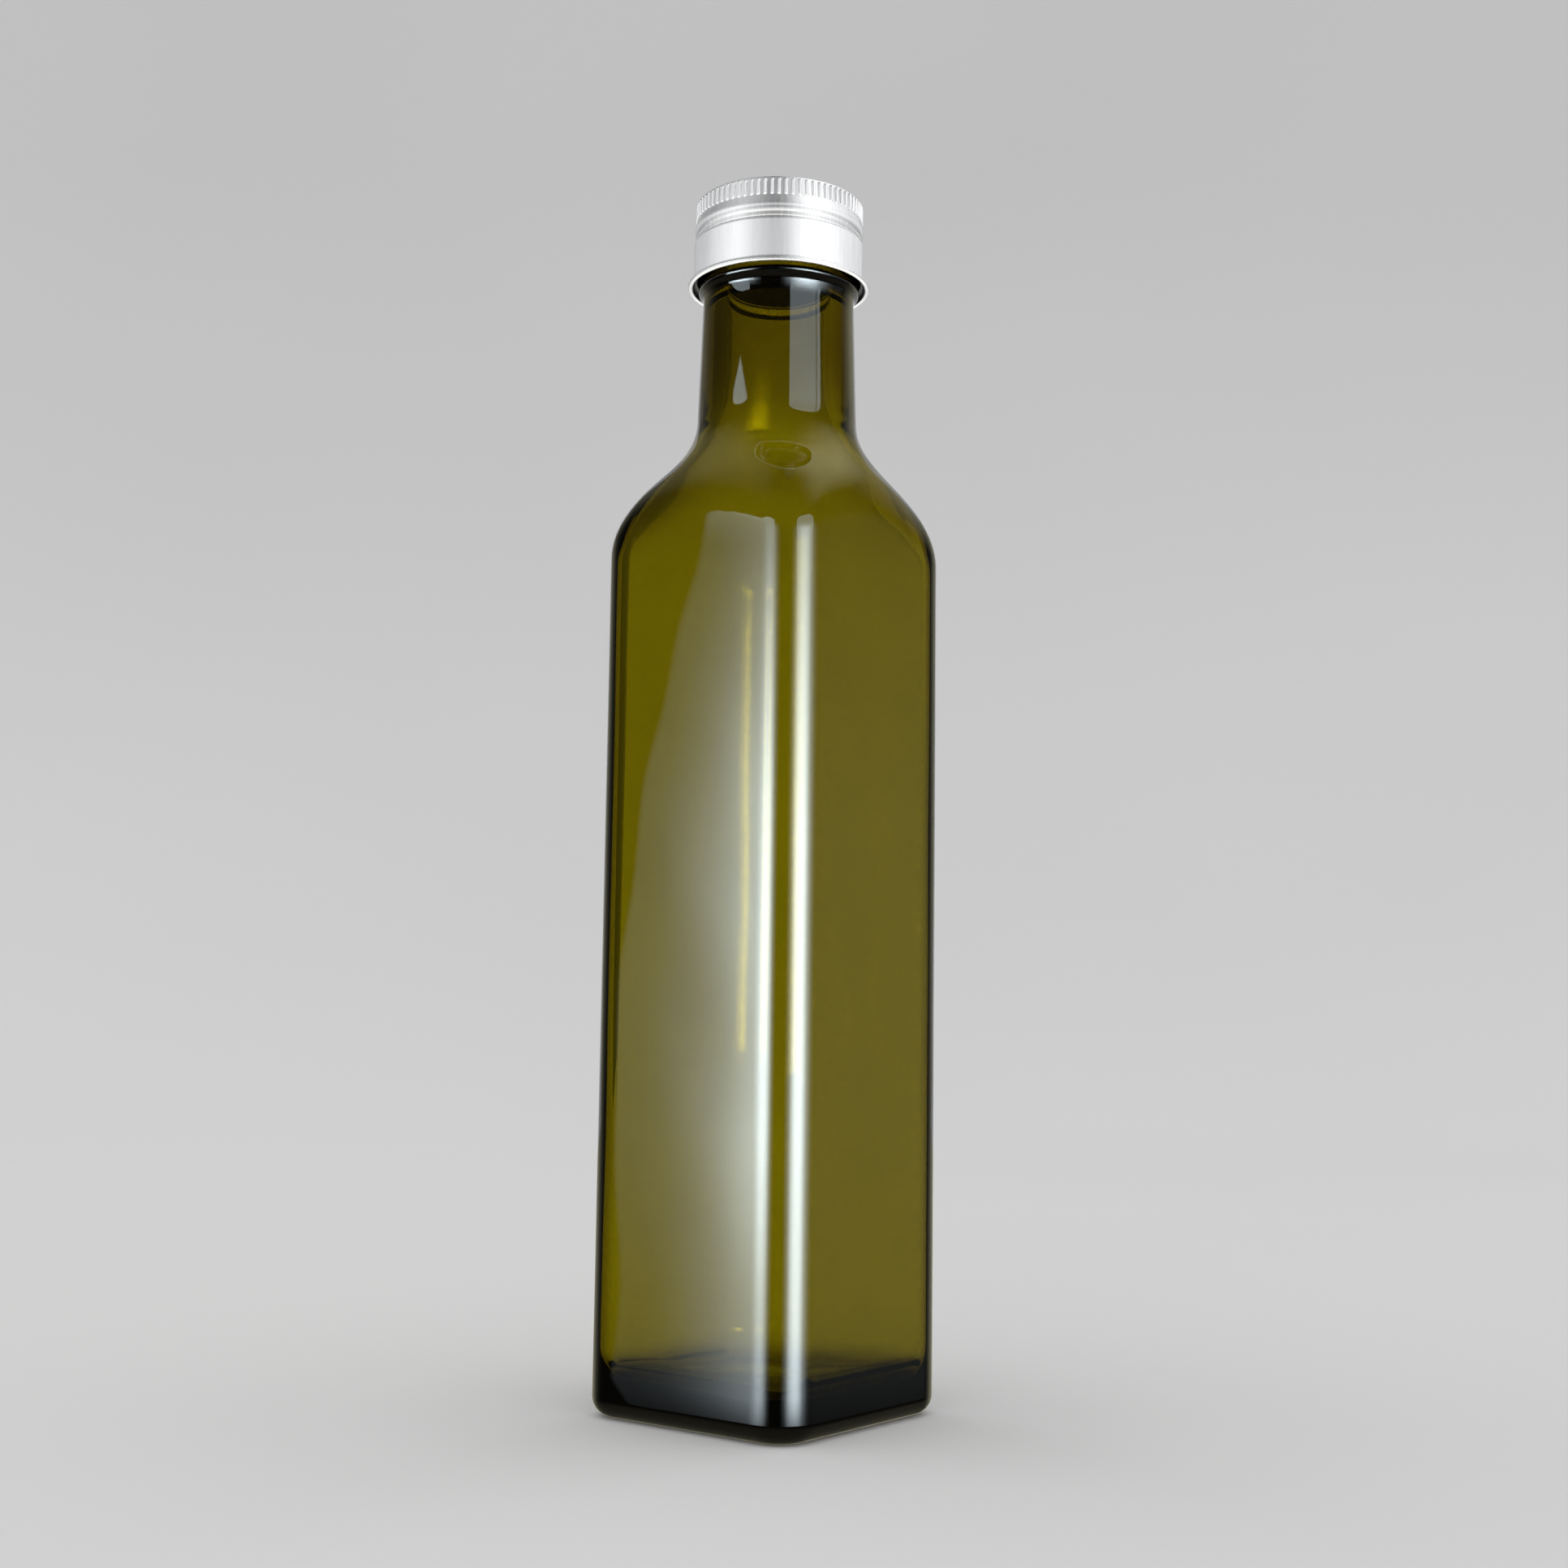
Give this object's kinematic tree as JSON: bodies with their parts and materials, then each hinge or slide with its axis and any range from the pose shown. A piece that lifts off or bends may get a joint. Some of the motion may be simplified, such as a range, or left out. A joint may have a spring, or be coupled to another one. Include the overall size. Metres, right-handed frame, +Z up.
{
  "type": "square glass oil bottle",
  "caption": "Square olive-green glass oil bottle with rounded corners, arched shoulder, round neck and a knurled aluminium screw cap, empty.",
  "frame": {"origin": "centre of the base, on the surface that the bottle stands on", "axes": "+Z up along the bottle's axis; the four flat faces look along +X, -X, +Y and -Y"},
  "size_m": [0.0466, 0.0466, 0.2194],
  "materials": {
    "olive_glass": "smooth blown container glass, dark olive green, slightly uneven inside",
    "satin_aluminium": "satin silver lacquer on drawn sheet, fine vertical drawing marks"
  },
  "bodies": {
    "root": {"glass_bottle": "olive_glass", "screw_cap": "satin_aluminium"}
  },
  "joints": []
}
